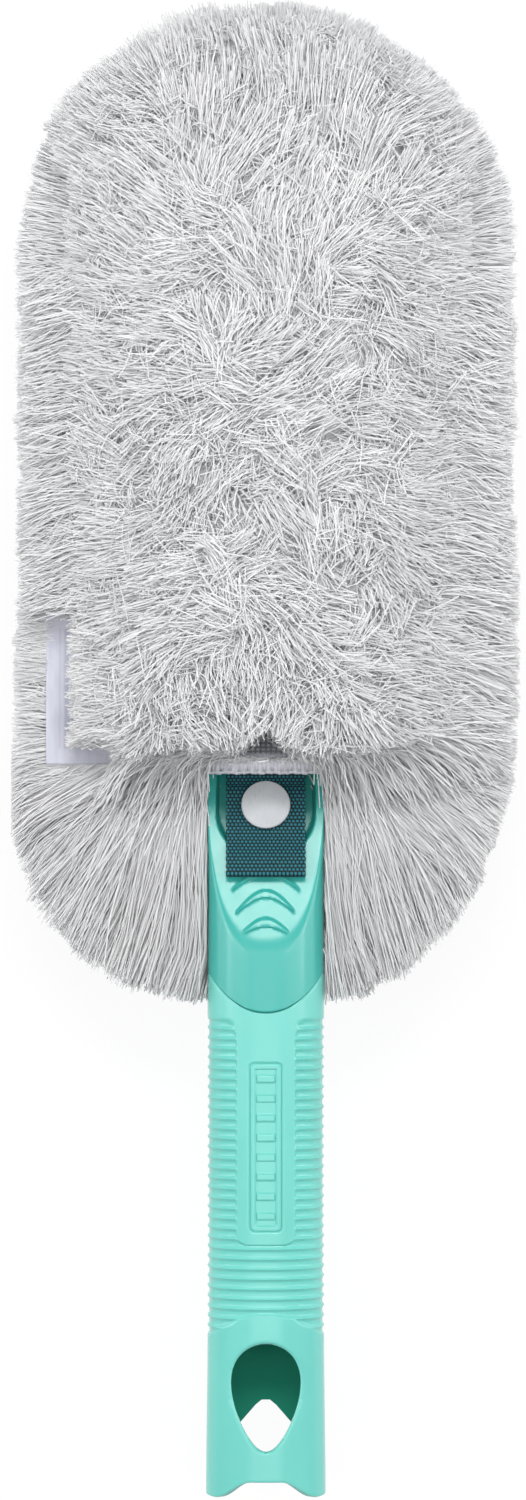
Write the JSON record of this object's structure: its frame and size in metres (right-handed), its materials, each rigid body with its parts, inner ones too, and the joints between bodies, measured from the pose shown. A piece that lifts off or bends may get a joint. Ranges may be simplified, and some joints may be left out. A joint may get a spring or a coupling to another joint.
{
  "type": "hand duster",
  "caption": "Hand duster with a ribbed hollow grip, a ramped neck, a flexible paddle and a washable long-pile sleeve held by a press-stud strap.",
  "frame": {"origin": "centre of the bounding box in plan, on the surface that the pile rests on", "axes": "+Y along the handle towards the head, +Z out of the front, +X to the right seen from the front"},
  "size_m": [0.162, 0.4746, 0.0911],
  "materials": {
    "mint": "satin",
    "mint_neck": "satin",
    "core": "matte",
    "snap_white": "gloss",
    "webbing": "matte",
    "knit": "matte",
    "hem": "matte",
    "satin": "satin",
    "pile": "matte"
  },
  "bodies": {
    "duster": {"grip": "mint", "neck": "mint_neck", "paddle": "core", "snap_stud": "snap_white", "strap_root": "webbing", "front_panel": "knit", "rear_panel": "knit", "side_seam": "hem", "front_hem": "hem", "rear_hem": "hem", "label": "satin", "front_pile_1": "pile", "front_pile_2": "pile", "front_pile_3": "pile", "front_pile_4": "pile", "rear_pile_1": "pile", "rear_pile_2": "pile", "rear_pile_3": "pile", "rear_pile_4": "pile"},
    "strap": {"strap_tab": "webbing", "snap_socket": "snap_white", "snap_cap": "snap_white"}
  },
  "joints": [
    {"name": "strap_lift", "type": "hinge", "parent": "duster", "child": "strap", "pos_m": [0, -0.00925, 0.0456], "axis": [-1, 0, 0], "range_deg": [0, 60]}
  ]
}
